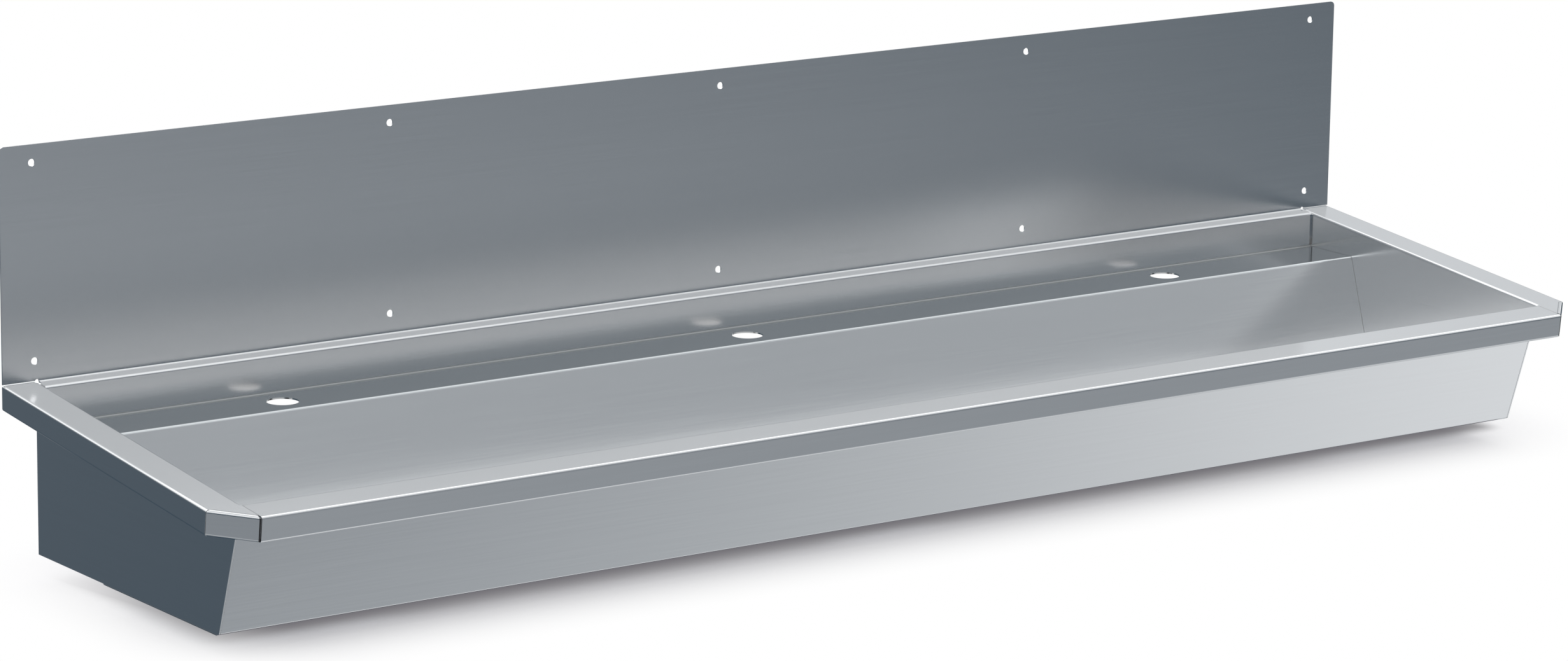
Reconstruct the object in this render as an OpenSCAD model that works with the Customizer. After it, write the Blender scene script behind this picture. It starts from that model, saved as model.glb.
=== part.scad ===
// Wall-hung trough sink of folded stainless sheet, with a high splashback, a sunk tap ledge and one waste.
// The origin is on the wall, at the centre of the splashback's screw holes.
// X runs along the trough, the user stands on the -Y side, and Z is up.

/* [Trough] */
// Length of the trough over its side aprons
trough_len = 1800; // [1500:10:2400]
// Depth from the wall to the front edge of the rim
trough_depth = 458; // [430:1:560]
// Height of the body below the foot of the splashback
body_h = 185; // [160:1:240]
// Thickness of the folded sheets
sheet_t = 1.5; // [1.2:0.1:2]
// Inside radius of the folds
bend_r = 1.2; // [1:0.1:3]
// Slit left where two sheets are seamed together
seam_gap = 0.4; // [0.1:0.05:0.6]

/* [Splashback] */
// Height of the splashback above its foot
splash_h = 250; // [220:1:400]
// Radius of the splashback's top corners
splash_corner_r = 5; // [2:0.5:12]
// Diameter of the screw holes
screw_hole_d = 8; // [6:0.5:10]
// Number of screw holes in a row
screw_columns = 5; // [3:2:9]
// Distance from the splashback's end to the first screw hole
screw_margin = 37.5; // [25:0.5:60]
// Height of the lower row of screw holes above the foot
lower_row_h = 22; // [15:1:30]
// Distance between the two rows of screw holes
row_gap = 209; // [120:1:350]
// Diameter of the relief holes at the ends of the foot fold
relief_d = 5; // [4:0.5:8]

/* [Rim] */
// Fall of the rim towards the front, in degrees
rim_fall = 5.76; // [2:0.01:8]
// Width of the rim, and length of each leg of the cut corners
rim_w = 40; // [30:0.5:60]
// Height of the apron that hangs from the rim
apron_h = 27; // [18:0.5:45]
// Width of the hem folded in at the foot of the apron
hem_w = 9; // [7:0.5:14]
// Width of the strip that turns over each cut corner
corner_lap = 5; // [4.5:0.5:10]
// Slit between the front apron and each corner's apron
apron_slit = 1.6; // [0.8:0.1:2.5]

/* [Tap ledge] */
// Width of the narrow ledge in front of the splashback
shelf_w = 18; // [12:0.5:30]
// Drop from the splashback's foot to the tap ledge
deck_drop = 42.5; // [30:0.5:60]
// Width of the tap ledge
deck_w = 74.5; // [65:0.5:95]
// Slot between the recess wall and each end panel
recess_slot = 2; // [1:0.5:4]
// Diameter of the tap holes
tap_hole_d = 35; // [32:0.5:38]
// Distance between neighbouring tap holes
tap_pitch = 600; // [500:10:700]
// Distance from the recess wall to the middle of a tap hole
tap_setback = 40; // [36:0.5:45]

/* [Basin] */
// Lean of the basin's back and front walls from upright, in degrees
wall_lean = 17.5; // [8:0.1:20]
// Height of the seam between the two long sheets above the floor
seam_h = 22; // [15:1:40]

/* [Back edges and webs] */
// Width of the end panels' fold against the wall
return_w = 22; // [15:1:40]
// Distance from the splashback's foot to the top of that fold
return_drop = 12; // [8:1:30]
// Distance from the middle of the trough to each wall web
web_x = 300; // [200:5:420]
// Thickness of a web
web_t = 2; // [1.5:0.5:3]
// Width of a web's wall flange
web_flange_w = 32; // [26:1:50]
// Height of a web's lower end above the underside of the trough
web_lift = 12; // [5:1:30]
// Distance between the two holes in a web's flange
web_hole_gap = 80; // [50:1:110]
// Clearance between a web and the sheets that it is welded to
web_clear = 0.3; // [0.1:0.1:0.5]

/* [Waste] */
// Diameter of the hole in the basin's floor
drain_hole_d = 50; // [49:0.5:60]
// Diameter of the waste's flange
flange_d = 80; // [76:1:100]
// Thickness of the waste's flange
flange_t = 3; // [2.6:0.1:5]
// Outer diameter of the waste's tail
tail_d = 47.8; // [44:0.1:48.2]
// Bore of the tail
tail_bore_d = 40; // [39:0.5:41]
// Bore of the throat above the tail, where the bridge is
throat_d = 37; // [32:0.5:38]
// Length of the tail below the trough's underside
tail_drop = 28; // [25:1:60]
// Gap between the flange and the edge of its pressed seat
seat_clear = 2; // [1:0.5:4]
// Depth of the pressed seat below the floor
seat_drop = 4.5; // [4.2:0.1:6]
// Thickness of the gasket under the flange
gasket_t = 1.5; // [1:0.1:1.6]
// Diameter of the grate
grate_d = 62; // [58:1:68]
// Thickness of the grate
grate_t = 1.5; // [1:0.1:2]
// Diameter of the grate's holes
grate_hole_d = 7; // [5:0.5:8]
// Width of the bridge that holds the grate's screw
bridge_w = 9; // [8:0.5:14]
// Height of the bridge
bridge_h = 6; // [5:0.5:9]
// Thread diameter of the grate's screw
grate_screw_d = 5; // [4:0.5:6]
// Diameter of that screw's head
grate_head_d = 9; // [8:0.5:11]
// Height of that head above the grate
grate_head_h = 1.8; // [1.4:0.1:3]
// Width of the slot in that head
grate_slot_w = 1.2; // [0.8:0.1:1.6]
// Outer diameter of the washers under the floor
washer_d = 68; // [64:1:76]
// Thickness of the rubber washer
rubber_t = 3; // [2:0.5:5]
// Thickness of the slip washer
slip_t = 1; // [0.8:0.1:2]
// Width of the lock nut over its flats
nut_w = 60; // [56:1:70]
// Height of the lock nut
nut_h = 8; // [6:0.5:12]
// Radial clearance of the rings on the tail
ring_clear = 0.3; // [0.2:0.1:0.6]

/* [Pads and earthing] */
// Thickness of the sound-deadening pads
pad_t = 2.5; // [1.5:0.5:5]
// Corner radius of the pads
pad_corner_r = 4; // [2:0.5:8]
// Length of the pads under the floor
floor_pad_len = 560; // [300:10:640]
// Width of the pads under the floor
floor_pad_w = 150; // [80:5:180]
// Length of the pads behind the basin
back_pad_len = 420; // [200:10:450]
// Width of the pads behind the basin
back_pad_w = 80; // [50:5:90]
// Length of each leg of the earthing lug
lug_leg = 18; // [15:1:25]
// Width of the earthing lug
lug_w = 16; // [14:1:24]
// Thickness of the earthing lug
lug_t = 2; // [1.5:0.5:3]
// Thread diameter of the earthing screw
earth_screw_d = 6; // [5:1:6]
// Length of the earthing screw under its head
earth_screw_len = 16; // [12:1:20]
// Width of the earthing screw's head and nut over the flats
earth_hex_w = 10; // [9:0.5:11]
// Height of the earthing screw's head and nut
earth_hex_h = 4; // [3:0.5:5]

/* [Hidden] */
$fn = 64;
// Straight steps in which a fold turns
bend_steps = 6;
// Length by which a cutting shape passes through what it cuts
overrun = 5;
// Length by which two shapes of one sheet lie in each other
lap = 4;

half_len = trough_len / 2;
end_x = half_len - rim_w;
fold_out_r = bend_r + sheet_t;
foot_z = -(lower_row_h + row_gap / 2);
deck_z = foot_z - deck_drop;
under_z = foot_z - body_h;
floor_z = under_z + sheet_t;
// Length of the rim along its fall, from the splashback's face to the front edge and to the basin
rim_run = (trough_depth - sheet_t) / cos(rim_fall);
rim_start = rim_run - rim_w;

// The long profile from the wall to the front, as points on the seen face in Y and Z
function rim_level(y) = foot_z + (y + sheet_t) * tan(rim_fall);
splash_foot = [-sheet_t, foot_z];
shelf_edge = [-sheet_t - shelf_w, rim_level(-sheet_t - shelf_w)];
recess_foot = [shelf_edge[0], deck_z];
deck_edge = [shelf_edge[0] - deck_w, deck_z];
floor_back = [deck_edge[0] - (deck_z - floor_z) * tan(wall_lean), floor_z];
rim_inner_y = -trough_depth + rim_w * cos(rim_fall);
rim_inner = [rim_inner_y, rim_level(rim_inner_y)];
floor_front = [rim_inner[0] + (rim_inner[1] - floor_z) * tan(wall_lean), floor_z];
rim_outer = [-trough_depth, rim_level(-trough_depth)];
down_apron = [sin(rim_fall), -cos(rim_fall)];
apron_foot = rim_outer + down_apron * apron_h;
hem_end = apron_foot + [cos(rim_fall), sin(rim_fall)] * hem_w;
seam_drop = deck_z - floor_z - seam_h;
seam_point = deck_edge - [tan(wall_lean), 1] * seam_drop;
tap_y = recess_foot[0] - tap_setback;
waste_y = (floor_back[0] + floor_front[0]) / 2;
// Thickness of the leaning walls, measured level
level_t = sheet_t / cos(wall_lean);

function along(h) = [cos(h), sin(h)];
function left_of(h) = [-sin(h), cos(h)];
function heading(a, b) = atan2(b[1] - a[1], b[0] - a[0]);
function turned(a) = a > 180 ? a - 360 : a < -180 ? a + 360 : a;
function reversed(list) = [for (i = [len(list) - 1 : -1 : 0]) list[i]];

// The points of a rounded corner: the arc is tangent to both legs at radius r, and drawn at radius reach
function corner_arc(p, h1, h2, r, reach) =
    let (turn = turned(h2 - h1))
    let (side = sign(turn))
    let (centre = p - along(h1) * r * tan(abs(turn) / 2) + left_of(h1) * side * r)
    [for (i = [0 : bend_steps]) centre - left_of(h1 + turn * i / bend_steps) * side * reach];

// One face of a folded sheet: 0 is the drawn face and 1 the face on its left, a thickness away
function sheet_face(path, radii, t, face) = let (last = len(path) - 1) [
    path[0] + left_of(heading(path[0], path[1])) * t * face,
    for (i = [1 : last - 1])
        let (h1 = heading(path[i - 1], path[i]))
        let (h2 = heading(path[i], path[i + 1]))
        let (side = sign(turned(h2 - h1)))
        let (r = side > 0 ? radii[i - 1] + t : radii[i - 1])
        each corner_arc(path[i], h1, h2, r, r - side * t * face),
    path[last] + left_of(heading(path[last - 1], path[last])) * t * face
];

// The section of a folded sheet, whose thickness lies to the left of the path
module folded(path, radii, t = sheet_t) {
    polygon(concat(sheet_face(path, radii, t, 0), reversed(sheet_face(path, radii, t, 1))));
}

// A closed outline with a radius at each point
module rounded(points, radii) {
    n = len(points);
    polygon([
        for (i = [0 : n - 1])
            let (p = points[i])
            let (h1 = heading(points[(i + n - 1) % n], p))
            let (h2 = heading(p, points[(i + 1) % n]))
            each radii[i] > 0 ? corner_arc(p, h1, h2, radii[i], radii[i]) : [p]
    ]);
}

// Draws a section given in Y and Z, over the given length about the middle of the trough
module lengthways(length) {
    translate([-length / 2, 0, 0]) rotate([90, 0, 90]) linear_extrude(length) children();
}

// Places shapes on the falling rim: Z = 0 is its top face and Y = 0 its line at the splashback
module on_rim() {
    translate([0, -sheet_t, foot_z]) rotate([rim_fall, 0, 0]) children();
}

// Draws a section given across the rim, along the rim's fall
module down_rim(start, length) {
    translate([0, -start, 0]) rotate([90, 0, 0]) linear_extrude(length) children();
}

module right_or_left(side) {
    mirror([side < 0 ? 1 : 0, 0, 0]) children();
}

// A round hole through the splashback's thickness
module wall_hole(x, z, d) {
    translate([x, overrun, z]) rotate([90, 0, 0]) cylinder(d = d, h = overrun * 2 + sheet_t);
}

screw_pitch = (trough_len - screw_margin * 2) / (screw_columns - 1);

module screw_holes() {
    for (i = [0 : screw_columns - 1], z = [-row_gap / 2, row_gap / 2])
        wall_hole(-half_len + screw_margin + screw_pitch * i, z, screw_hole_d);
}

// The small round notches that free the foot fold from the ends
module foot_reliefs() {
    for (side = [-1, 1]) wall_hole(end_x * side, foot_z, relief_d);
}

// Splashback, narrow shelf, recess wall, tap ledge and the basin's back wall, folded from one sheet
module splash_sheet() {
    sheet_len = (end_x - seam_gap) * 2;
    color("lightsteelblue") difference() {
        union() {
            rotate([90, 0, 0]) linear_extrude(sheet_t) rounded([
                [-half_len, foot_z + seam_gap * 2],
                [-end_x, foot_z + seam_gap * 2],
                [-end_x, foot_z + fold_out_r],
                [end_x, foot_z + fold_out_r],
                [end_x, foot_z + seam_gap * 2],
                [half_len, foot_z + seam_gap * 2],
                [half_len, foot_z + splash_h],
                [-half_len, foot_z + splash_h]
            ], [0, 0, 0, 0, 0, 0, splash_corner_r, splash_corner_r]);
            lengthways(sheet_len) folded(
                [splash_foot + [0, fold_out_r + lap], splash_foot, shelf_edge, recess_foot, deck_edge,
                    seam_point + [tan(wall_lean), 1] * seam_gap],
                [bend_r, bend_r, bend_r, bend_r]);
        }
        screw_holes();
        foot_reliefs();
        for (i = [-1 : 1]) translate([tap_pitch * i, tap_y, deck_z - overrun])
            cylinder(d = tap_hole_d, h = overrun * 2);
        for (side = [-1, 1]) right_or_left(side)
            translate([sheet_len / 2 - recess_slot, recess_foot[0] - overrun, deck_z + bend_r])
                cube([recess_slot + overrun, overrun + fold_out_r, deck_drop - fold_out_r * 2]);
    }
}

dish_r = flange_d / 2 + seat_clear;
dish_run = dish_r + seat_drop;
seat_z = floor_z - seat_drop;

// The rest of the basin's back wall, its floor and front wall, and the front rim with its hemmed apron
module basin_pan() {
    color("lightsteelblue") {
        difference() {
            lengthways((end_x - seam_gap) * 2) folded(
                [seam_point, floor_back, floor_front, rim_inner, rim_outer, apron_foot, hem_end],
                [bend_r, bend_r, bend_r, bend_r, bend_r]);
            translate([0, waste_y, floor_z - overrun]) cylinder(r = dish_run + lap, h = overrun * 2);
        }
        translate([0, waste_y, 0]) rotate_extrude() folded([
            [dish_run + lap * 2, floor_z],
            [dish_run, floor_z],
            [dish_r, seat_z],
            [drain_hole_d / 2, seat_z]
        ], [bend_r, bend_r]);
    }
}

// The right end panel's rim, hemmed apron and the top of its wall, across the rim's fall
hem_in = [half_len - hem_w, -apron_h];
apron_low = [half_len, -apron_h];
apron_top = [half_len, 0];
wall_fold = [end_x, 0];
wall_stub = [end_x, -fold_out_r - lap / 2];
corner_inset = corner_lap * sqrt(2);

// The end panel's wall below the rim, in Y and Z
front_top = rim_inner - [level_t, 0];
front_low = [floor_front[0] + sheet_t * tan(wall_lean) - level_t, under_z];
front_lean = [tan(wall_lean), -1];

module end_wall() {
    drop = fold_out_r + lap / 4;
    translate([end_x, 0, 0]) rotate([90, 0, 90]) linear_extrude(sheet_t) rounded([
        [0, rim_level(0) - drop],
        front_top + front_lean * drop,
        front_low,
        [-fold_out_r, under_z],
        [-fold_out_r, foot_z - return_drop],
        [0, foot_z - return_drop]
    ], [0, 0, bend_r + sheet_t, 0, 0, 0]);
}

// The fold along the end panel's back edge, which lies against the wall
module end_return() {
    translate([0, 0, under_z]) linear_extrude(body_h - return_drop) folded([
        [end_x + sheet_t, -fold_out_r - lap],
        [end_x + sheet_t, 0],
        [end_x + sheet_t - return_w, 0]
    ], [bend_r]);
}

module end_panel(side) {
    color("slategray") right_or_left(side) difference() {
        union() {
            on_rim() {
                down_rim(-overrun, rim_start + overrun)
                    folded([hem_in, apron_low, apron_top, wall_fold, wall_stub], [bend_r, bend_r, bend_r]);
                down_rim(rim_start - lap, rim_w + lap)
                    folded([hem_in, apron_low, apron_top, wall_fold + [bend_r * 2, 0]], [bend_r, bend_r]);
                translate([end_x, -rim_run, -sheet_t]) cube([fold_out_r * 2, rim_w, sheet_t]);
            }
            end_wall();
            end_return();
        }
        translate([0, 0, under_z - overrun]) cube([half_len * 2, overrun * 2, body_h * 2]);
        foot_reliefs();
        on_rim() translate([0, 0, -apron_h - overrun]) linear_extrude(apron_h + overrun * 2) polygon([
            [half_len - corner_inset, -rim_start],
            [half_len + overrun, -rim_start],
            [half_len + overrun, -rim_run - overrun],
            [end_x - overrun, -rim_run - overrun],
            [end_x - overrun, -rim_run + corner_inset - overrun]
        ]);
    }
}

// The folded piece that closes a cut corner of the rim: a narrow lap on top, an apron and its hem
module corner_apron(side) {
    run = rim_w * sqrt(2);
    color("slategray") right_or_left(side) on_rim() intersection() {
        translate([half_len - rim_w / 2, -(rim_start + rim_w / 2), 0]) rotate([0, 0, -45])
            translate([0, run, 0]) rotate([90, 0, 0]) linear_extrude(run * 2) folded([
                [-hem_w, -apron_h],
                [0, -apron_h],
                [0, 0],
                [-corner_lap + seam_gap, 0]
            ], [bend_r, bend_r]);
        translate([end_x + apron_slit, -rim_run, -apron_h - overrun])
            cube([rim_w - apron_slit, rim_w - seam_gap, apron_h + overrun * 2]);
    }
}

web_low = under_z + web_lift;
web_top = deck_z - sheet_t - web_clear;
web_mid = (web_low + web_top) / 2;
web_hole_x = web_x + web_t / 2 + web_flange_w / 2;
function back_face_y(z) = deck_edge[0] - (deck_z - z) * tan(wall_lean) + level_t + web_clear;

// An upright plate between the wall and the basin's back wall, with a flange that is screwed to the wall
module wall_web(side) {
    corner = bend_r * 2;
    color("silver") right_or_left(side) difference() {
        intersection() {
            translate([0, 0, web_low]) linear_extrude(web_top - web_low) folded([
                [web_x + web_flange_w, 0],
                [web_x, 0],
                [web_x, floor_back[0]]
            ], [bend_r], web_t);
            translate([web_x - overrun, 0, 0]) rotate([90, 0, 90])
                linear_extrude(web_flange_w + overrun * 2) polygon([
                    [0, web_top],
                    [back_face_y(web_top) + corner, web_top],
                    [back_face_y(web_top - corner), web_top - corner],
                    [back_face_y(web_mid), web_mid],
                    [-web_flange_w, web_low],
                    [0, web_low]
                ]);
        }
        for (z = [-web_hole_gap / 2, web_hole_gap / 2])
            translate([web_hole_x, overrun, web_mid + z]) rotate([90, 0, 0])
                cylinder(d = screw_hole_d, h = overrun * 2 + web_t);
    }
}

// A ring about the waste's axis, from its lower face up
module ring(z, h, d, hole_d) {
    translate([0, waste_y, z]) difference() {
        cylinder(d = d, h = h);
        translate([0, 0, -overrun]) cylinder(d = hole_d, h = h + overrun * 2);
    }
}

flange_z = seat_z + gasket_t;
flange_top = flange_z + flange_t;
tail_end = under_z - tail_drop;
ring_bore_d = tail_d + ring_clear * 2;
rubber_z = seat_z - sheet_t - rubber_t;
slip_z = rubber_z - slip_t;
nut_z = slip_z - nut_h;
grate_z = flange_top - grate_t;
grate_seat_d = grate_d + ring_clear * 2;

// The waste: a flange in the pressed seat, a recess for the grate, a bridge for its screw and a plain tail
module waste_body() {
    edge = grate_t / 2;
    color("gainsboro") difference() {
        translate([0, waste_y, 0]) union() {
            rotate_extrude() polygon([
                [tail_bore_d / 2, tail_end],
                [tail_d / 2 - edge, tail_end],
                [tail_d / 2, tail_end + edge],
                [tail_d / 2, flange_z],
                [flange_d / 2, flange_z],
                [flange_d / 2, flange_top - edge],
                [flange_d / 2 - edge * 2, flange_top],
                [grate_seat_d / 2, flange_top],
                [grate_seat_d / 2, grate_z],
                [throat_d / 2, grate_z],
                [throat_d / 2, grate_z - bridge_h],
                [tail_bore_d / 2, grate_z - bridge_h]
            ]);
            translate([-throat_d / 2 - lap / 4, -bridge_w / 2, grate_z - bridge_h])
                cube([throat_d + lap / 2, bridge_w, bridge_h]);
        }
        translate([0, waste_y, grate_z - bridge_h - overrun])
            cylinder(d = grate_screw_d + ring_clear, h = bridge_h + overrun * 2);
    }
}

module waste_gasket() {
    color("dimgray") ring(seat_z, gasket_t, flange_d, ring_bore_d);
}

module waste_rubber_washer() {
    color("dimgray") ring(rubber_z, rubber_t, washer_d, ring_bore_d);
}

module waste_slip_washer() {
    color("whitesmoke") ring(slip_z, slip_t, washer_d, ring_bore_d);
}

// The lock nut is a hexagon whose corners are turned off
module waste_lock_nut() {
    color("gainsboro") translate([0, waste_y, nut_z]) difference() {
        intersection() {
            cylinder(d = nut_w / cos(30), h = nut_h, $fn = 6);
            cylinder(d = nut_w + nut_h / 2, h = nut_h);
        }
        translate([0, 0, -overrun]) cylinder(d = ring_bore_d, h = nut_h + overrun * 2);
    }
}

// The rings of holes as shares of the grate's radius
grate_ring_shares = [0.36, 0.7];

module strainer_grate() {
    color("silver") translate([0, waste_y, grate_z]) difference() {
        cylinder(d = grate_d, h = grate_t);
        for (ring = [0 : 1], i = [0 : 6 * (ring + 1) - 1])
            rotate([0, 0, 60 / (ring + 1) * i]) translate([grate_d / 2 * grate_ring_shares[ring], 0, -overrun])
                cylinder(d = grate_hole_d, h = grate_t + overrun * 2);
        translate([0, 0, -overrun]) cylinder(d = grate_screw_d + ring_clear * 2, h = grate_t + overrun * 2);
    }
}

// A round-headed screw with a straight slot, that holds the grate to the bridge
module strainer_screw() {
    rise = grate_head_h / 3;
    color("silver") translate([0, waste_y, flange_top]) difference() {
        rotate_extrude() polygon([
            [0, -grate_t - bridge_h],
            [grate_screw_d / 2, -grate_t - bridge_h],
            [grate_screw_d / 2, 0],
            [grate_head_d / 2, 0],
            [grate_head_d / 2, rise],
            [grate_head_d / 2 - rise / 2, rise * 2],
            [grate_head_d / 2 - rise * 2, grate_head_h],
            [0, grate_head_h]
        ]);
        translate([-grate_head_d, -grate_slot_w / 2, rise]) cube([grate_head_d * 2, grate_slot_w, grate_head_h]);
    }
}

// A pad stuck under the floor, beside the waste
module floor_pad(side) {
    start = dish_run + overrun * 4;
    translate([0, waste_y, under_z - pad_t]) color("darkslategray") right_or_left(side)
        linear_extrude(pad_t) rounded([
            [start, -floor_pad_w / 2],
            [start + floor_pad_len, -floor_pad_w / 2],
            [start + floor_pad_len, floor_pad_w / 2],
            [start, floor_pad_w / 2]
        ], [pad_corner_r, pad_corner_r, pad_corner_r, pad_corner_r]);
}

// A pad stuck to the hidden face of the basin's back wall, between a web and an end panel
module back_pad(side) {
    start = (web_x + end_x - back_pad_len) / 2;
    drop = (seam_drop / cos(wall_lean) - back_pad_w) / 2;
    color("darkslategray") right_or_left(side)
        translate([0, deck_edge[0], deck_z]) rotate([-wall_lean, 0, 0])
            translate([0, sheet_t + pad_t, 0]) rotate([90, 0, 0]) linear_extrude(pad_t) rounded([
                [start, -drop - back_pad_w],
                [start + back_pad_len, -drop - back_pad_w],
                [start + back_pad_len, -drop],
                [start, -drop]
            ], [pad_corner_r, pad_corner_r, pad_corner_r, pad_corner_r]);
}

// The earthing lug is an angle welded to the inner side of the left web
lug_x = -web_x;
lug_y = -web_flange_w - lug_w / 2;
lug_hole_x = lug_leg / 2 + lug_t / 2;

module on_lug() {
    translate([lug_x, lug_y, web_mid]) children();
}

module earth_lug() {
    color("silver") on_lug() difference() {
        translate([0, lug_w / 2, 0]) rotate([90, 0, 0]) linear_extrude(lug_w) folded([
            [lug_leg, 0],
            [0, 0],
            [0, -lug_leg]
        ], [bend_r / 2], lug_t);
        translate([lug_hole_x, 0, -lug_t - overrun])
            cylinder(d = earth_screw_d + ring_clear * 2, h = lug_t + overrun * 2);
    }
}

module earth_screw() {
    color("gold") on_lug() translate([lug_hole_x, 0, 0]) {
        cylinder(d = earth_hex_w / cos(30), h = earth_hex_h, $fn = 6);
        translate([0, 0, -earth_screw_len]) cylinder(d = earth_screw_d, h = earth_screw_len + earth_hex_h / 2);
    }
}

module earth_nut() {
    color("gold") on_lug() translate([lug_hole_x, 0, -lug_t - earth_hex_h]) difference() {
        cylinder(d = earth_hex_w / cos(30), h = earth_hex_h, $fn = 6);
        translate([0, 0, -overrun]) cylinder(d = earth_screw_d + ring_clear, h = earth_hex_h + overrun * 2);
    }
}

splash_sheet();
basin_pan();
end_panel(-1);  // end_panel_left
end_panel(1);  // end_panel_right
corner_apron(-1);  // corner_apron_left
corner_apron(1);  // corner_apron_right
wall_web(-1);  // wall_web_left
wall_web(1);  // wall_web_right
waste_body();
waste_gasket();
waste_rubber_washer();
waste_slip_washer();
waste_lock_nut();
strainer_grate();
strainer_screw();
floor_pad(-1);  // floor_pad_left
floor_pad(1);  // floor_pad_right
back_pad(-1);  // back_pad_left
back_pad(1);  // back_pad_right
earth_lug();
earth_screw();
earth_nut();
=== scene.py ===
import bpy, math
from mathutils import Matrix, Vector


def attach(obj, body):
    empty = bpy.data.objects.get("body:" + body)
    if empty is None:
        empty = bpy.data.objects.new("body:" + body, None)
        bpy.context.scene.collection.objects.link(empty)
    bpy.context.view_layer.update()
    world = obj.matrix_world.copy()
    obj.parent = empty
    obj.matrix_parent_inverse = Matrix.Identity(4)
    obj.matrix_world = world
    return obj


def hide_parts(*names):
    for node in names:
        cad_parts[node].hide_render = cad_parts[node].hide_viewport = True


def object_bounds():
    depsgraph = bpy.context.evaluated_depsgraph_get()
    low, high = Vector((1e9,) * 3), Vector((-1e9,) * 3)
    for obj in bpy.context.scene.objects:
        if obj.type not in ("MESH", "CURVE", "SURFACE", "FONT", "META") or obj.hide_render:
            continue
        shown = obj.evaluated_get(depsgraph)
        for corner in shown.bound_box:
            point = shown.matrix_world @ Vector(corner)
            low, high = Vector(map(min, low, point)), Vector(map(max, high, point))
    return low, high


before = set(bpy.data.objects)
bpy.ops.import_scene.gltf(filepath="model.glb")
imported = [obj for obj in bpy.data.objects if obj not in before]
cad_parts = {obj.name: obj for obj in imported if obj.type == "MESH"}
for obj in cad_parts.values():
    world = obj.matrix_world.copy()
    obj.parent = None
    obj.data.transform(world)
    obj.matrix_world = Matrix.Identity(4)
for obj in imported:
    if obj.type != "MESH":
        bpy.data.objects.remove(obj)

print("frame loaded:", len(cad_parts), "nodes")
cadBox = [list(corner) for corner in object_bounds()]
scene = bpy.context.scene
scene.view_settings.view_transform = "Standard"


def linearColour(hexCode):
    # sRGB hex to the linear values that the sockets take
    parts = [int(hexCode[i:i + 2], 16) / 255 for i in (1, 3, 5)]
    return [c / 12.92 if c <= 0.04045 else ((c + 0.055) / 1.055) ** 2.4 for c in parts] + [1.0]


def addNode(tree, kind, settings=None, links=None):
    # one node, with its settings, socket values and the sockets that feed it. A Mix node's sockets
    # share their names, so they go by number: 2 and 3 mix two values, 6 and 7 two colours
    node = tree.nodes.new(kind)
    for name, value in (settings or {}).items():
        if isinstance(name, str) and hasattr(node, name):
            setattr(node, name, value)
        else:
            node.inputs[name].default_value = value
    for name, source in (links or {}).items():
        tree.links.new(source, node.inputs[name])
    return node


def newMaterial(name):
    material = bpy.data.materials.new(name)
    material.use_nodes = True
    material.node_tree.nodes.clear()
    return material, material.node_tree


# ---- camera

photoCamera = {
    "width": 2463,          # pixels of the photograph
    "focal": 8974,          # pixels, solved from the photograph's edges
    "place": (-3.5983, -5.1258, 1.2248),
    "yaw": 35.76,           # degrees towards +X
    "pitch": -12.592,
    "roll": 0.79,
    "sensor": 36.0,         # mm
    "farthest": 100,        # metres that it still sees
}


def makeCamera(c):
    data = bpy.data.cameras.new("photoCamera")
    data.sensor_width = c["sensor"]
    data.lens = c["focal"] / c["width"] * c["sensor"]
    data.clip_end = c["farthest"]
    camera = bpy.data.objects.new("photoCamera", data)
    scene.collection.objects.link(camera)
    turn = Matrix.Rotation(math.radians(-c["yaw"]), 4, "Z")
    tilt = Matrix.Rotation(math.radians(90 + c["pitch"]), 4, "X")
    roll = Matrix.Rotation(math.radians(c["roll"]), 4, "Z")
    camera.matrix_world = Matrix.Translation(c["place"]) @ turn @ tilt @ roll
    scene.camera = camera


makeCamera(photoCamera)
print("camera made")


# ---- studio

# their strengths were fitted until the steel's tones came near those in the photograph
softLights = [
    # azimuth from the front towards the right, elevation, half angle (degrees), strength
    (0, 45, 42, 0.47),
    (45, 45, 42, 0.27),
    (90, 45, 42, 0.63),
    (135, 45, 42, 0.89),
    (180, 45, 42, 0.73),
    (225, 45, 42, 0.62),
    (270, 45, 42, 1.21),
    (0, 62, 26, 0.32),
    (20, 62, 26, 0.81),
    (90, -45, 42, 0.35),
    (135, -45, 42, 0.23),
    (270, -45, 42, 0.17),
    (315, -45, 42, 0.30),
    (180, 0, 42, 0.09),
    (225, 0, 42, 0.06),
    (10, -12, 18, 0.33),
    (22, -12, 18, 0.06),
    (34, -12, 18, 0.14),
    (34, -26, 18, 0.21),
    (60, -26, 18, 0.37),
    (22, -40, 18, 0.26),
    (60, -40, 18, 0.33),
    (10, 24, 18, 0.23),
    (25, 24, 18, 0.09),
    (40, 24, 18, 0.24),
    (55, 24, 18, 0.45),
    (110, 12, 20, 0.09),
    (170, 12, 20, 0.41),
    (110, 26, 20, 1.49),
    (155, 26, 20, 0.21),
    (170, 26, 20, 1.30),
    (-66, 16, 16, 0.32),
    (-50, 16, 16, 0.42),
    (-20, 16, 16, 0.85),
    (60, -62, 20, 0.28),
    (40, -62, 20, 0.34),
]
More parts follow.
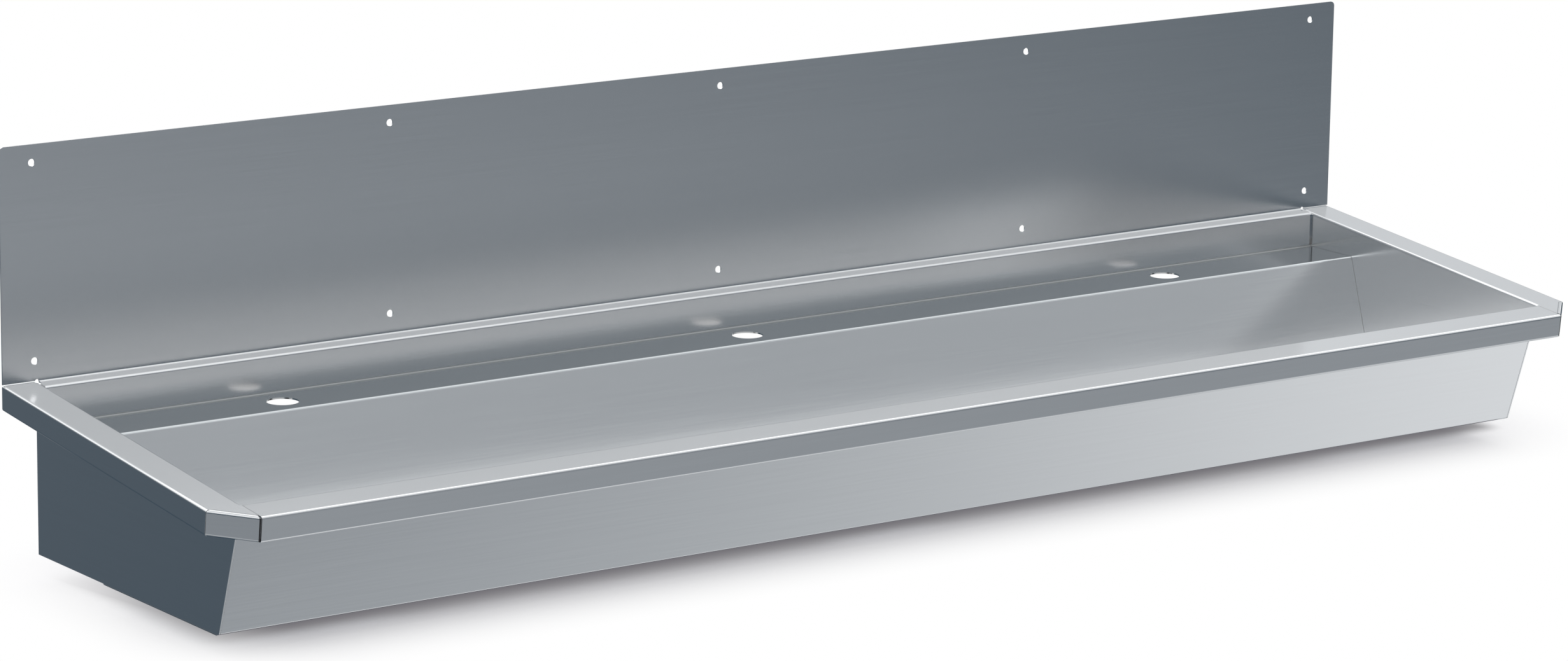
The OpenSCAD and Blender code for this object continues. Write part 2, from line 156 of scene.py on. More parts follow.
studio = {
    "lightColour": "#ffffff",
    "coolFill": (0.0, 0.025, 0.05, 1.0),    # linear: a faint cool light from every side
    "white": "#ffffff",         # what the camera sees away from the trough
    "floorSize": 60.0,          # metres across
    "floorDrop": 0.0005,        # under the lowest point of the trough
    "floorColour": "#f7f5f3",
    "paintedShadowTint": "#5b585f",    # the painted glow's colour, the darkest that the floor gets under the trough
    # rectangles on the floor: half length, half depth, and the middle in X and Y
    "footprint": (0.777, 0.104, 0.052, -0.142),     # the shadow's core
    "shadowReach": 0.227,       # metres from the core to where the shadow ends
    "paintedShadow": (0.847, 0.148, 0.036, -0.148),    # where painted shadow takes the place of the lit floor under the trough
    "paintedShadowFade": 0.037,
    "paintedShadowBackFade": (-0.22, 0.03),     # Y between which the painted shadow fades out towards the back
    "behind": (0.78, 0.2, 0.0, 0.1),    # a patch behind the trough that glows only for reflections: a painted reflection of pale floor
    "behindFade": 0.05,
    "reflectionGlowLevel": 0.72,
    "paintedFoldShadow": (0.87, 0.01, 0.0, -0.372),     # a painted shadow strip on the floor, which only the bottom front fold sees in reflection
    "paintedFoldShadowFade": 0.005,
}


def makeWorld(s, lights):
    world = bpy.data.worlds.new("studioWorld")
    world.use_nodes = True
    scene.world = world
    tree = world.node_tree
    tree.nodes.clear()
    ray = addNode(tree, "ShaderNodeTexCoord").outputs["Generated"]
    total = None
    for azimuth, elevation, halfAngle, strength in lights:
        a, e = math.radians(azimuth), math.radians(elevation)
        aim = (math.sin(a) * math.cos(e), -math.cos(a) * math.cos(e), math.sin(e))
        near = addNode(tree, "ShaderNodeVectorMath", {"operation": "DOT_PRODUCT", 1: aim}, {0: ray})
        glow = addNode(tree, "ShaderNodeMapRange", {
            "interpolation_type": "SMOOTHSTEP", "From Min": math.cos(math.radians(halfAngle)),
            "To Max": strength}, {"Value": near.outputs["Value"]}).outputs["Result"]
        total = glow if total is None else addNode(
            tree, "ShaderNodeMath", {"operation": "ADD"}, {0: total, 1: glow}).outputs[0]
    lamps = addNode(tree, "ShaderNodeBackground",
                    {"Color": linearColour(s["lightColour"])}, {"Strength": total})
    fill = addNode(tree, "ShaderNodeBackground", {"Color": s["coolFill"]})
    light = addNode(tree, "ShaderNodeAddShader", links={0: lamps.outputs[0], 1: fill.outputs[0]})
    white = addNode(tree, "ShaderNodeBackground", {"Color": linearColour(s["white"])})
    path = addNode(tree, "ShaderNodeLightPath").outputs
    mix = addNode(tree, "ShaderNodeMixShader", links={
        0: path["Is Camera Ray"], 1: light.outputs[0], 2: white.outputs[0]})
    addNode(tree, "ShaderNodeOutputWorld", links={"Surface": mix.outputs[0]})


def awayFrom(tree, spot, box, fade):
    # nought on a rectangle of the floor, and growing to one over the given distance around it
    halfX, halfY, middleX, middleY = box
    moved = addNode(tree, "ShaderNodeVectorMath",
                    {"operation": "ADD", 1: (-middleX, -middleY, 0)}, {0: spot})
    folded = addNode(tree, "ShaderNodeVectorMath", {"operation": "ABSOLUTE"}, {0: moved.outputs[0]})
    past = addNode(tree, "ShaderNodeVectorMath",
                   {"operation": "SUBTRACT", 1: (halfX, halfY, 0)}, {0: folded.outputs[0]})
    outer = addNode(tree, "ShaderNodeVectorMath",
                    {"operation": "MAXIMUM", 1: (0, 0, 0)}, {0: past.outputs[0]})
    distance = addNode(tree, "ShaderNodeVectorMath", {"operation": "LENGTH"}, {0: outer.outputs[0]})
    return addNode(tree, "ShaderNodeMapRange",
                   {"interpolation_type": "SMOOTHSTEP", "From Max": fade},
                   {"Value": distance.outputs["Value"]}).outputs["Result"]


def makeFloor(s):
    bpy.ops.object.select_all(action="DESELECT")
    level = cadBox[0][2] - s["floorDrop"]
    bpy.ops.mesh.primitive_plane_add(size=s["floorSize"], location=(0, 0, level))
    floor = bpy.context.object
    floor.name = "studioFloor"
    material, tree = newMaterial("whiteStudioFloor")
    spot = addNode(tree, "ShaderNodeTexCoord").outputs["Object"]
    path = addNode(tree, "ShaderNodeLightPath").outputs
    white = addNode(tree, "ShaderNodeEmission", {"Color": linearColour(s["white"])})
    clear = addNode(tree, "ShaderNodeBsdfTransparent")
    # the lit floor with a painted glow added, and under the trough a painted shadow that leaves
    # only this glow
    bounce = addNode(tree, "ShaderNodeEmission", {"Color": linearColour(s["paintedShadowTint"])})
    matt = addNode(tree, "ShaderNodeBsdfDiffuse", {"Color": linearColour(s["floorColour"])})
    lit = addNode(tree, "ShaderNodeAddShader", links={0: matt.outputs[0], 1: bounce.outputs[0]})
    place = addNode(tree, "ShaderNodeSeparateXYZ", links={"Vector": spot}).outputs
    # a painted shadow under the trough, which fades out towards the back
    fromBack = addNode(tree, "ShaderNodeMapRange", {
        "interpolation_type": "SMOOTHSTEP", "From Min": s["paintedShadowBackFade"][0],
        "From Max": s["paintedShadowBackFade"][1]}, {"Value": place["Y"]})
    reached = addNode(tree, "ShaderNodeMath", {"operation": "MAXIMUM"}, {
        0: awayFrom(tree, spot, s["paintedShadow"], s["paintedShadowFade"]), 1: fromBack.outputs[0]})
    shaded = addNode(tree, "ShaderNodeMixShader", links={
        0: reached.outputs[0], 1: bounce.outputs[0], 2: lit.outputs[0]})
    # away from the trough the camera sees plain white
    share = addNode(tree, "ShaderNodeMath", {"operation": "MULTIPLY"}, {
        0: path["Is Camera Ray"], 1: awayFrom(tree, spot, s["footprint"], s["shadowReach"])})
    pale = addNode(tree, "ShaderNodeMixShader", links={
        0: share.outputs[0], 1: shaded.outputs[0], 2: white.outputs[0]})
    # the metal sees a painted glow on the floor behind the trough, and elsewhere the studio's own
    # light
    dim = addNode(tree, "ShaderNodeEmission",
                  {"Color": linearColour(s["white"]), "Strength": s["reflectionGlowLevel"]})
    behind = addNode(tree, "ShaderNodeMixShader", links={
        0: awayFrom(tree, spot, s["behind"], s["behindFade"]),
        1: dim.outputs[0], 2: clear.outputs[0]})
    # a painted shadow strip on the floor under the bottom front fold, which only the metal sees
    mirrored = addNode(tree, "ShaderNodeMixShader", links={
        0: awayFrom(tree, spot, s["paintedFoldShadow"], s["paintedFoldShadowFade"]),
        1: bounce.outputs[0], 2: behind.outputs[0]})
    above = addNode(tree, "ShaderNodeMixShader", links={
        0: path["Is Glossy Ray"], 1: pale.outputs[0], 2: mirrored.outputs[0]})
    # from below the floor is out of the way
    below = addNode(tree, "ShaderNodeNewGeometry").outputs["Backfacing"]
    seen = addNode(tree, "ShaderNodeMixShader", links={
        0: below, 1: above.outputs[0], 2: clear.outputs[0]})
    addNode(tree, "ShaderNodeOutputMaterial", links={"Surface": seen.outputs[0]})
    floor.data.materials.append(material)


makeWorld(studio, softLights)
makeFloor(studio)
print("studio made")


# ---- materials

noiseSpan = (0.35, 0.65)    # most values of a noise lie between these, and a map range spreads them

# stainless steel sheet, cold rolled and ground with a fine belt: a soft grey mirror, drawn out a
# little across its faint straight lines, and with a polish that changes slowly over the sheet
groundSheet = {
    "pale": "#f0f0f0",
    "dull": "#eeeeee",
    "polish": (0.143, 0.16),    # roughness, from the best polished streaks to the dullest
    "acrossPolish": (0.17, 0.185),      # the ends are ground across and come out duller
    "lineLength": 0.14,         # metres, one bite of the belt's grit
    "lineWidth": 0.0025,        # a real line is about 0.05 mm wide, drawn coarser so that it shows
    "lineDepth": 0.00000015,    # metres
    "lineSpan": (0.3, 0.7),     # the noise's values that are spread over the whole polish
    "cloud": 0.35,              # metres, the slow change of polish
    "cloudShare": 0.45,
    # Y and Z of the fold at the recess's foot, whose inside the belt doesn't reach and is left
    # rough; its colour there is darkened with painted shade
    "fold": (-0.0195, -0.169),
    "foldReach": (0.0012, 0.0022),      # metres from there between which its rough inside with painted shade ends
    "foldPolish": 0.5,
    "foldShadeColour": "#b4b6b6",
    # from the first Y back to the second, upright faces go over from the belt to rubbing by hand
    "handWork": (-0.128, -0.105),
    "handPolish": 0.06,         # what that adds to the roughness
    "shelf": (-0.1272, 0.0014),     # Z and half height of the narrow ledge, which the belt reaches
    "ledge": (-0.1695, 0.0013),     # the same of the tap ledge, polished up after its punching, with its colour darkened by painted shade
    "ledgePolish": -0.05,
    "ledgeShadeColour": "#d6d9da",
}


def makeGroundStainless(name, m, turn, polishRange, backFinish=False):
    # turn: degrees about Z from the trough's length to the lines
    material, tree = newMaterial(name)
    spot = addNode(tree, "ShaderNodeTexCoord").outputs["Object"]
    along = addNode(tree, "ShaderNodeMapping", {
        "vector_type": "TEXTURE", "Rotation": (0, 0, math.radians(turn)),
        "Scale": (m["lineLength"], m["lineWidth"], m["lineWidth"])}, {"Vector": spot})
    lines = addNode(tree, "ShaderNodeTexNoise",
                    {"Scale": 1.0, "Detail": 1.5, "Roughness": 0.5}, {"Vector": along.outputs[0]})
    cloud = addNode(tree, "ShaderNodeTexNoise",
                    {"Scale": 1 / m["cloud"], "Detail": 2.0, "Roughness": 0.5}, {"Vector": spot})
    both = addNode(tree, "ShaderNodeMix",
                   {0: m["cloudShare"]}, {2: lines.outputs[0], 3: cloud.outputs[0]})
    least, most = m["lineSpan"]
    roughness = addNode(tree, "ShaderNodeMapRange", {
        "From Min": least, "From Max": most, "To Min": polishRange[0], "To Max": polishRange[1]},
        {"Value": both.outputs[0]}).outputs[0]
    tone = addNode(tree, "ShaderNodeMapRange",
                   {"From Min": least, "From Max": most}, {"Value": lines.outputs[0]})
    colour = addNode(tree, "ShaderNodeMix", {
        "data_type": "RGBA", 6: linearColour(m["dull"]), 7: linearColour(m["pale"])},
        {0: tone.outputs[0]}).outputs[2]
    # the back faces' finish, with painted shade on the tap ledge and in the fold at the recess's
    # foot
    if backFinish:
        place = addNode(tree, "ShaderNodeSeparateXYZ", links={"Vector": spot}).outputs
        # the upright faces at the back, and the tap ledge between them
        behind = addNode(tree, "ShaderNodeMapRange", {
            "From Min": m["handWork"][0], "From Max": m["handWork"][1]}, {"Value": place["Y"]})
        onShelf, onLedge = (addNode(tree, "ShaderNodeMath", {
            "operation": "COMPARE", 1: z, 2: half}, {0: place["Z"]}).outputs[0]
            for z, half in (m["shelf"], m["ledge"]))
        byHand = addNode(tree, "ShaderNodeMath", {"operation": "SUBTRACT", "use_clamp": True},
                         {0: behind.outputs[0], 1: onShelf}).outputs[0]
        change = addNode(tree, "ShaderNodeMix",
                         {2: m["handPolish"], 3: m["ledgePolish"]}, {0: onLedge})
        roughness = addNode(tree, "ShaderNodeMath", {"operation": "MULTIPLY_ADD"},
                            {0: byHand, 1: change.outputs[0], 2: roughness}).outputs[0]
        # painted shade: the tap ledge's colour is darkened
        ledge = addNode(tree, "ShaderNodeMath",
                        {"operation": "MULTIPLY"}, {0: byHand, 1: onLedge})
        colour = addNode(tree, "ShaderNodeMix", {
            "data_type": "RGBA", 7: linearColour(m["ledgeShadeColour"])},
            {0: ledge.outputs[0], 6: colour}).outputs[2]
        # the inside of the fold at the recess's foot: rougher, and darkened with painted shade
        y, z = m["fold"]
        moved = addNode(tree, "ShaderNodeVectorMath",
                        {"operation": "ADD", 1: (0, -y, -z)}, {0: spot})
        flat = addNode(tree, "ShaderNodeVectorMath",
                       {"operation": "MULTIPLY", 1: (0, 1, 1)}, {0: moved.outputs[0]})
        apart = addNode(tree, "ShaderNodeVectorMath", {"operation": "LENGTH"}, {0: flat.outputs[0]})
        inFold = addNode(tree, "ShaderNodeMapRange", {
            "interpolation_type": "SMOOTHSTEP", "From Min": m["foldReach"][0],
            "From Max": m["foldReach"][1], "To Min": 1.0, "To Max": 0.0},
            {"Value": apart.outputs["Value"]}).outputs[0]
        roughness = addNode(tree, "ShaderNodeMix",
                            {3: m["foldPolish"]}, {0: inFold, 2: roughness}).outputs[0]
        colour = addNode(tree, "ShaderNodeMix", {
            "data_type": "RGBA", 7: linearColour(m["foldShadeColour"])},
            {0: inFold, 6: colour}).outputs[2]
    relief = addNode(tree, "ShaderNodeBump",
                     {"Strength": 1.0, "Distance": m["lineDepth"]}, {"Height": lines.outputs[0]})
    shader = addNode(tree, "ShaderNodeBsdfPrincipled", {"Metallic": 1.0}, {
        "Base Color": colour, "Roughness": roughness, "Normal": relief.outputs[0]})
    addNode(tree, "ShaderNodeOutputMaterial", links={"Surface": shader.outputs[0]})
    return material


# the same steel as it leaves the mill, pickled and lightly rolled: an even, milky grey with a very
# fine mottle
millSheet = {
    "pale": "#d6d7d6",
    "dull": "#c6c8c9",
    "polish": (0.27, 0.38),
    "mottle": 0.003,            # metres, drawn coarser than the real 0.1 mm so that it shows
    "mottleDepth": 0.000004,
    "cloud": 0.08,
}


def makeMillStainless(name, m):
    material, tree = newMaterial(name)
    spot = addNode(tree, "ShaderNodeTexCoord").outputs["Object"]
    mottle = addNode(tree, "ShaderNodeTexNoise",
                     {"Scale": 1 / m["mottle"], "Detail": 3.0, "Roughness": 0.6}, {"Vector": spot})
    cloud = addNode(tree, "ShaderNodeTexNoise",
                    {"Scale": 1 / m["cloud"], "Detail": 2.0, "Distortion": 0.4}, {"Vector": spot})
    both = addNode(tree, "ShaderNodeMix", {0: 0.5}, {2: mottle.outputs[0], 3: cloud.outputs[0]})
    level = addNode(tree, "ShaderNodeMapRange", {
        "From Min": noiseSpan[0], "From Max": noiseSpan[1]}, {"Value": both.outputs[0]})
    polish = addNode(tree, "ShaderNodeMapRange", {
        "To Min": m["polish"][0], "To Max": m["polish"][1]}, {"Value": level.outputs[0]})
    colour = addNode(tree, "ShaderNodeMix", {
        "data_type": "RGBA", 6: linearColour(m["pale"]), 7: linearColour(m["dull"])},
        {0: level.outputs[0]})
    relief = addNode(tree, "ShaderNodeBump",
                     {"Strength": 1.0, "Distance": m["mottleDepth"]}, {"Height": mottle.outputs[0]})
    shader = addNode(tree, "ShaderNodeBsdfPrincipled", {"Metallic": 1.0}, {
        "Base Color": colour.outputs[2], "Roughness": polish.outputs[0],
        "Normal": relief.outputs[0]})
    addNode(tree, "ShaderNodeOutputMaterial", links={"Surface": shader.outputs[0]})
    return material


# metals turned on a lathe: fine rings about the turning axis, which spread the light into a
# bow-tie glint
turnedStainless = {
    "pale": "#e2e3e3",
    "dull": "#cfd1d2",
    "polish": (0.16, 0.26),
    "centre": (0.0, -0.25603),  # the waste's axis
    "ring": 0.0008,             # metres; a real tool mark is 0.1 mm, drawn coarser so that it shows
    "ringDepth": 0.000006,
    "wear": 90.0,               # patches of wear to the metre
}
turnedBrass = {
    "pale": "#dcc07a",
    "dull": "#a8843f",          # where the brass has begun to tarnish
    "polish": (0.2, 0.36),
    "centre": (-0.29, -0.04),   # the earthing screw's axis
    "ring": 0.0006,
    "ringDepth": 0.000006,
    "wear": 90.0,
}


def makeTurnedMetal(name, m):
    material, tree = newMaterial(name)
    spot = addNode(tree, "ShaderNodeTexCoord").outputs["Object"]
    x, y = m["centre"]
    centred = addNode(tree, "ShaderNodeVectorMath", {"operation": "ADD", 1: (-x, -y, 0)}, {0: spot})
    flat = addNode(tree, "ShaderNodeVectorMath",
                   {"operation": "MULTIPLY", 1: (1, 1, 0)}, {0: centred.outputs[0]})
    radius = addNode(tree, "ShaderNodeVectorMath", {"operation": "LENGTH"}, {0: flat.outputs[0]})
    height = addNode(tree, "ShaderNodeSeparateXYZ", links={"Vector": spot})
    # the rings run over end faces by radius and over round faces by height
    travel = addNode(tree, "ShaderNodeMath", {"operation": "ADD"},
                     {0: radius.outputs["Value"], 1: height.outputs["Z"]})
    phase = addNode(tree, "ShaderNodeMath",
                    {"operation": "MULTIPLY", 1: 2 * math.pi / m["ring"]}, {0: travel.outputs[0]})
    wave = addNode(tree, "ShaderNodeMath", {"operation": "SINE"}, {0: phase.outputs[0]})
    wear = addNode(tree, "ShaderNodeTexNoise",
                   {"Scale": m["wear"], "Detail": 3.0}, {"Vector": spot})
    tone = addNode(tree, "ShaderNodeMapRange", {
        "From Min": noiseSpan[0], "From Max": noiseSpan[1]}, {"Value": wear.outputs[0]})
    polish = addNode(tree, "ShaderNodeMapRange", {
        "To Min": m["polish"][0], "To Max": m["polish"][1]}, {"Value": tone.outputs[0]})
    colour = addNode(tree, "ShaderNodeMix", {
        "data_type": "RGBA", 6: linearColour(m["pale"]), 7: linearColour(m["dull"])},
        {0: tone.outputs[0]})
    relief = addNode(tree, "ShaderNodeBump",
                     {"Strength": 1.0, "Distance": m["ringDepth"]}, {"Height": wave.outputs[0]})
    shader = addNode(tree, "ShaderNodeBsdfPrincipled", {"Metallic": 1.0}, {
        "Base Color": colour.outputs[2], "Roughness": polish.outputs[0],
        "Normal": relief.outputs[0]})
    addNode(tree, "ShaderNodeOutputMaterial", links={"Surface": shader.outputs[0]})
    return material


# stainless steel stamped and electropolished: bright and clean, with the faint orange peel of the
# bath
polishedStainless = {
    "colour": "#e4e5e6",
    "polish": (0.06, 0.12),
    "peel": 0.0022,             # metres
    "peelDepth": 0.000006,
    "haze": 70.0,               # patches of haze to the metre
}


def makePolishedStainless(name, m):
    material, tree = newMaterial(name)
    spot = addNode(tree, "ShaderNodeTexCoord").outputs["Object"]
    peel = addNode(tree, "ShaderNodeTexNoise",
                   {"Scale": 1 / m["peel"], "Detail": 1.0}, {"Vector": spot})
    haze = addNode(tree, "ShaderNodeTexNoise",
                   {"Scale": m["haze"], "Detail": 3.0}, {"Vector": spot})
    polish = addNode(tree, "ShaderNodeMapRange", {
        "From Min": noiseSpan[0], "From Max": noiseSpan[1],
        "To Min": m["polish"][0], "To Max": m["polish"][1]}, {"Value": haze.outputs[0]})
    relief = addNode(tree, "ShaderNodeBump",
                     {"Strength": 1.0, "Distance": m["peelDepth"]}, {"Height": peel.outputs[0]})
    shader = addNode(tree, "ShaderNodeBsdfPrincipled",
                     {"Metallic": 1.0, "Base Color": linearColour(m["colour"])},
                     {"Roughness": polish.outputs[0], "Normal": relief.outputs[0]})
    addNode(tree, "ShaderNodeOutputMaterial", links={"Surface": shader.outputs[0]})
    return material


# rubber, moulded: black and even, with a dusty bloom
mouldedRubber = {
    "pale": "#2b2b2d",
    "dark": "#19191b",
    "roughness": (0.5, 0.68),
    "speck": 0.002,             # metres
    "speckDepth": 0.00002,
    "gloss": 0.5,
}
# polypropylene, moulded: waxy white, with faint flow marks
mouldedPolypropylene = {
    "pale": "#efeee9",
    "dark": "#e2e1da",
    "roughness": (0.34, 0.48),
    "speck": 0.012,
    "speckDepth": 0.00002,
    "gloss": 0.5,
}
# bitumen felt, pressed and stuck on: nearly black, matt and pitted
bitumenFelt = {
    "pale": "#3a3a3b",
    "dark": "#1f1f21",
    "roughness": (0.8, 0.95),
    "speck": 0.003,
    "speckDepth": 0.0003,
    "gloss": 0.3,
}


def makeSoftGoods(name, m):
    material, tree = newMaterial(name)
    spot = addNode(tree, "ShaderNodeTexCoord").outputs["Object"]
    speck = addNode(tree, "ShaderNodeTexNoise",
                    {"Scale": 1 / m["speck"], "Detail": 4.0, "Roughness": 0.6}, {"Vector": spot})
    tone = addNode(tree, "ShaderNodeMapRange", {
        "From Min": noiseSpan[0], "From Max": noiseSpan[1]}, {"Value": speck.outputs[0]})
    colour = addNode(tree, "ShaderNodeMix", {
        "data_type": "RGBA", 6: linearColour(m["dark"]), 7: linearColour(m["pale"])},
        {0: tone.outputs[0]})
    dull = addNode(tree, "ShaderNodeMapRange", {
        "To Min": m["roughness"][0], "To Max": m["roughness"][1]}, {"Value": tone.outputs[0]})
    relief = addNode(tree, "ShaderNodeBump",
                     {"Strength": 1.0, "Distance": m["speckDepth"]}, {"Height": speck.outputs[0]})
    shader = addNode(tree, "ShaderNodeBsdfPrincipled", {"Specular IOR Level": m["gloss"]}, {
        "Base Color": colour.outputs[2], "Roughness": dull.outputs[0],
        "Normal": relief.outputs[0]})
    addNode(tree, "ShaderNodeOutputMaterial", links={"Surface": shader.outputs[0]})
    return material


alongSheet = makeGroundStainless("stainlessGroundAlong", groundSheet, 0, groundSheet["polish"],
                                 backFinish=True)
acrossSheet = makeGroundStainless("stainlessGroundAcross", groundSheet, 90,
                                  groundSheet["acrossPolish"])
leftCorner = makeGroundStainless("stainlessGroundLeftCorner", groundSheet, -45,
                                 groundSheet["polish"])
rightCorner = makeGroundStainless("stainlessGroundRightCorner", groundSheet, 45,
                                  groundSheet["polish"])
finishes = {
    "satin_stainless": alongSheet,
    "mill_stainless": makeMillStainless("stainlessMillFinish", millSheet),
    "turned_stainless": makeTurnedMetal("stainlessTurned", turnedStainless),
    "polished_stainless": makePolishedStainless("stainlessElectropolished", polishedStainless),
    "black_rubber": makeSoftGoods("rubberMoulded", mouldedRubber),
    "white_plastic": makeSoftGoods("polypropyleneMoulded", mouldedPolypropylene),
    "deadening_pad": makeSoftGoods("bitumenFelt", bitumenFelt),
    "brass": makeTurnedMetal("brassTurned", turnedBrass),
}
# the belt ran along each sheet's own length, so the lines of the ends and corners lie another way
ownGrain = {
    "end_panel_left": acrossSheet,
    "end_panel_right": acrossSheet,
    "corner_apron_left": leftCorner,
    "corner_apron_right": rightCorner,
}
for name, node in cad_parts.items():
    for slot in node.material_slots:
        slot.material = ownGrain.get(name, finishes[slot.material.name.split(".")[0]])
print("materials made")


# ---- the waste's threaded tail

wasteTail = {
    "centre": (0.0, -0.25603),
    "crest": 0.0239,        # radius over the thread, as the plain tail's
    "core": 0.02262,        # radius at the thread's root
    "pitch": 0.002309,      # eleven turns to the inch, the pipe thread that trap nuts have
    "top": -0.3195,         # hidden under the nut and washers
    "foot": -0.3395,
    "crestShare": 0.3,      # flat share of the pitch on the crest
    "ridgeShare": 0.98,     # share of the pitch that the ridge fills at its root
    "sunk": 0.0004,         # metres that the ridge's root goes into the tail
    "stepsPerTurn": 48,
    "wallReach": 0.0002,    # metres past the crest that still count as the tail's wall
    "join": 0.00001,        # metres within which the node's loose triangles are joined
}


def makeWasteTail(t):
    x, y = t["centre"]
    bpy.ops.object.select_all(action="DESELECT")
    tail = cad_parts["waste_body"].copy()
    tail.data = tail.data.copy()
    tail.name = "waste_body_threaded"
    scene.collection.objects.link(tail)
    tail.select_set(True)
    bpy.context.view_layer.objects.active = tail
    bpy.ops.object.mode_set(mode="EDIT")
    bpy.ops.mesh.select_all(action="SELECT")
    bpy.ops.mesh.remove_doubles(threshold=t["join"])
    bpy.ops.mesh.select_all(action="DESELECT")
    bpy.ops.object.mode_set(mode="OBJECT")
    # the tail's outer wall goes in to the thread's root
    for vertex in tail.data.vertices:
        radius = math.hypot(vertex.co.x - x, vertex.co.y - y)
        vertex.select = t["core"] < radius < t["crest"] + t["wallReach"]
    bpy.ops.object.mode_set(mode="EDIT")
    shrink = t["core"] / t["crest"]
    bpy.ops.transform.resize(value=(shrink, shrink, 1), center_override=(x, y, 0))
    bpy.ops.object.mode_set(mode="OBJECT")
    # one section of the ridge, wound down the tail
    bpy.ops.object.select_all(action="DESELECT")
    rootHalf = t["pitch"] / 2 * t["ridgeShare"]
    crestHalf = t["pitch"] / 2 * t["crestShare"]
    bpy.ops.mesh.primitive_circle_add(vertices=4, radius=rootHalf, fill_type="NOTHING",
                                      location=(x + t["core"], y, t["top"]))
    ridge = bpy.context.object
    ridge.name = "wasteThread"
    depth = t["crest"] - t["core"]
    section = [(-t["sunk"], rootHalf), (depth, crestHalf),
               (depth, -crestHalf), (-t["sunk"], -rootHalf)]
    for vertex, (out, rise) in zip(ridge.data.vertices, section):
        vertex.co = (out, 0, rise)
    bpy.ops.object.transform_apply(location=True, rotation=True, scale=True)
    turns = (t["top"] - t["foot"]) / t["pitch"] - 1.0
    scene.cursor.location = (x, y, 0)
    bpy.ops.object.origin_set(type="ORIGIN_CURSOR")
    winding = ridge.modifiers.new("winding", "SCREW")
    winding.axis = "Z"
    winding.angle = 2 * math.pi * turns
    winding.screw_offset = -t["pitch"] * turns
    winding.steps = winding.render_steps = int(t["stepsPerTurn"] * turns)
    bpy.ops.object.modifier_apply(modifier="winding")
    bpy.ops.object.transform_apply(location=True, rotation=True, scale=True)
    scene.cursor.location = (0, 0, 0)
    # its two ends are closed
    bpy.ops.object.mode_set(mode="EDIT")
    bpy.ops.mesh.select_all(action="DESELECT")
    bpy.ops.mesh.select_non_manifold(extend=False)
    bpy.ops.mesh.edge_face_add()
    bpy.ops.mesh.select_all(action="SELECT")
    bpy.ops.mesh.normals_make_consistent(inside=False)
    bpy.ops.object.mode_set(mode="OBJECT")
    ridge.data.materials.append(finishes["turned_stainless"])
    tail.select_set(True)
    bpy.context.view_layer.objects.active = tail
    bpy.ops.object.join()
    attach(tail, "root")
    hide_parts("waste_body")


makeWasteTail(wasteTail)
print("threaded tail made")


# ---- weld beads on the hidden side

weldBead = {
    "step": 0.0017,         # metres between two ripples
    "ripple": (0.0021, 0.0019, 0.0009),     # half length, half width and height of one ripple
    "segments": 8,          # faces round a ripple
    "rings": 5,
    "endX": 0.8597,         # the end panels' inner face
}
offBack = (0.954, -0.3)     # Y and Z of the way that the basin's back wall faces outside
seams = {
    # start and end of each bead's middle line, and the way the bead stands off the sheet
    "seam_bead": ((-0.8565, -0.13009, -0.28845), (0.8565, -0.13009, -0.28845), (0, *offBack)),
    "web_bead_left": ((-0.2998, -0.0938, -0.1752), (-0.2998, -0.1130, -0.2345), (1, *offBack)),
    "web_bead_right": ((0.2998, -0.0938, -0.1752), (0.2998, -0.1130, -0.2345), (-1, *offBack)),
}
endSeams = {
    # the same in Y and Z, for the beads along each end panel
    "end_bead_deck_": ((-0.024, -0.1706), (-0.0905, -0.1706), (0, -1)),
    "end_bead_back_": ((-0.0942, -0.1746), (-0.1361, -0.3076), offBack),
    "end_bead_floor_": ((-0.1405, -0.3116), (-0.3715, -0.3116), (0, -1)),
}
for side, outward in (("left", -1), ("right", 1)):
    x = outward * weldBead["endX"]
    for stem, (start, end, out) in endSeams.items():
        seams[stem + side] = ((x, *start), (x, *end), (-outward, *out))


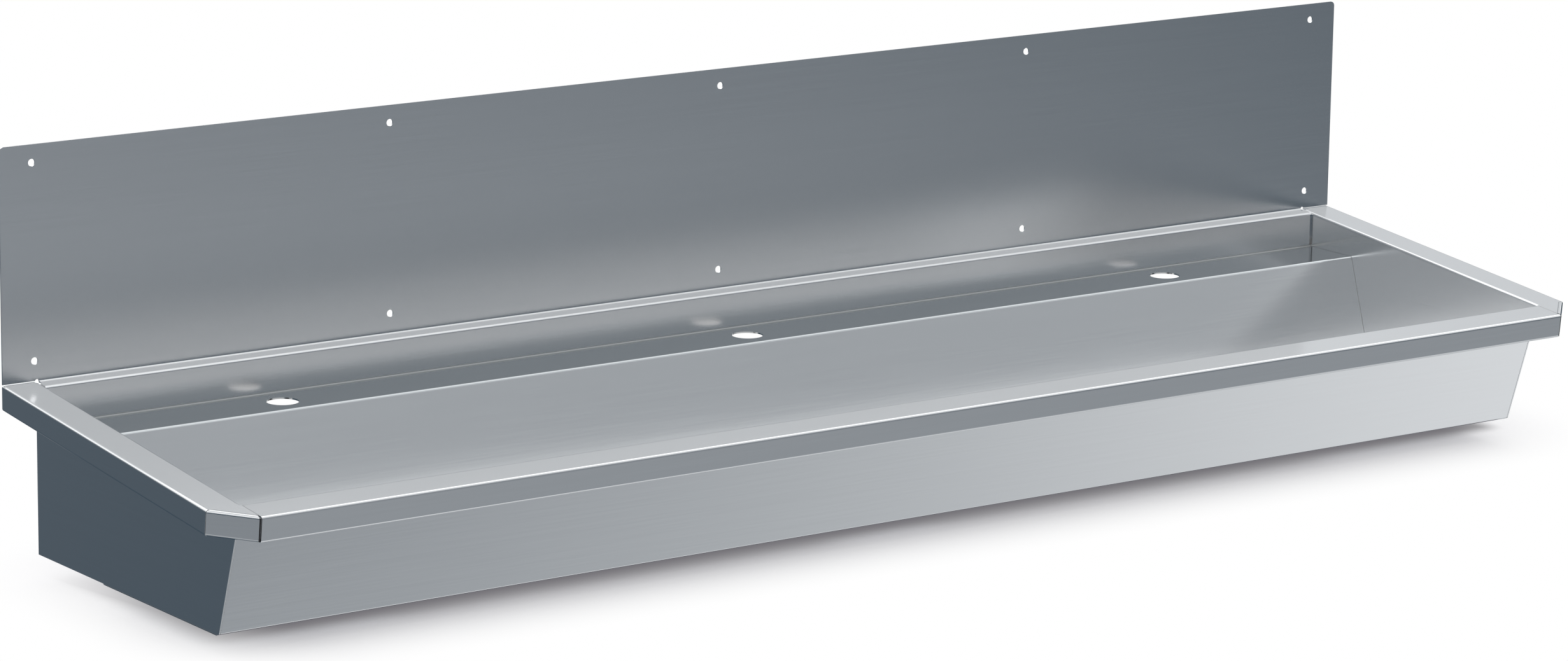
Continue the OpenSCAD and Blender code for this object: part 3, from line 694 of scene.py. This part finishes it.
def makeWeldBead(name, seam, b):
    start, end, out = (Vector(v) for v in seam)
    run = end - start
    along = run.normalized()
    out = (out - along * out.dot(along)).normalized()
    turn = Matrix((along, out.cross(along), out)).transposed()
    bpy.ops.object.select_all(action="DESELECT")
    bpy.ops.mesh.primitive_uv_sphere_add(segments=b["segments"], ring_count=b["rings"], radius=1.0,
                                         location=(0, 0, 0))
    bead = bpy.context.object
    bead.name = name
    bpy.ops.object.mode_set(mode="EDIT")
    bpy.ops.mesh.select_all(action="SELECT")
    bpy.ops.transform.resize(value=b["ripple"])
    bpy.ops.object.mode_set(mode="OBJECT")
    row = bead.modifiers.new("row", "ARRAY")
    row.use_relative_offset = False
    row.use_constant_offset = True
    row.constant_offset_displace = (b["step"], 0, 0)
    row.count = int(run.length / b["step"])
    bpy.ops.object.modifier_apply(modifier="row")
    bead.matrix_world = Matrix.Translation(start) @ turn.to_4x4()
    bpy.ops.object.transform_apply(location=True, rotation=True, scale=True)
    bpy.ops.object.shade_smooth()
    bead.data.materials.append(finishes["mill_stainless"])
    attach(bead, "root")


for name, seam in seams.items():
    makeWeldBead(name, seam, weldBead)
print("weld beads made")


# ---- a black strip behind each slit at the front corners, which darkens the slit

slitSealant = {
    "rim": (0.0, -0.0015, -0.1265),     # where the rim's plane starts, at the splashback's foot
    "fall": 5.76,                       # degrees
    "middle": (0.8608, -0.45672, -0.0138),      # in the rim's plane, just behind the apron's face
    "half": (0.00072, 0.0014, 0.0122),  # half the strip's width, depth and height
    "round": 0.0003,
    "roundSteps": 3,
}


def makeSlitSealant(name, side, s):
    bpy.ops.object.select_all(action="DESELECT")
    bpy.ops.mesh.primitive_cube_add(size=2, location=(0, 0, 0))
    strip = bpy.context.object
    strip.name = name
    strip.scale = s["half"]
    bpy.ops.object.transform_apply(location=True, rotation=True, scale=True)
    edge = strip.modifiers.new("edge", "BEVEL")
    edge.width = s["round"]
    edge.segments = s["roundSteps"]
    bpy.ops.object.modifier_apply(modifier="edge")
    x, y, z = s["middle"]
    tilt = Matrix.Rotation(math.radians(s["fall"]), 4, "X")
    strip.matrix_world = Matrix.Translation(s["rim"]) @ tilt @ Matrix.Translation((side * x, y, z))
    bpy.ops.object.transform_apply(location=True, rotation=True, scale=True)
    bpy.ops.object.shade_smooth()
    strip.data.materials.append(finishes["black_rubber"])
    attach(strip, "root")


makeSlitSealant("slit_sealant_left", -1, slitSealant)
makeSlitSealant("slit_sealant_right", 1, slitSealant)
print("black_strips made")
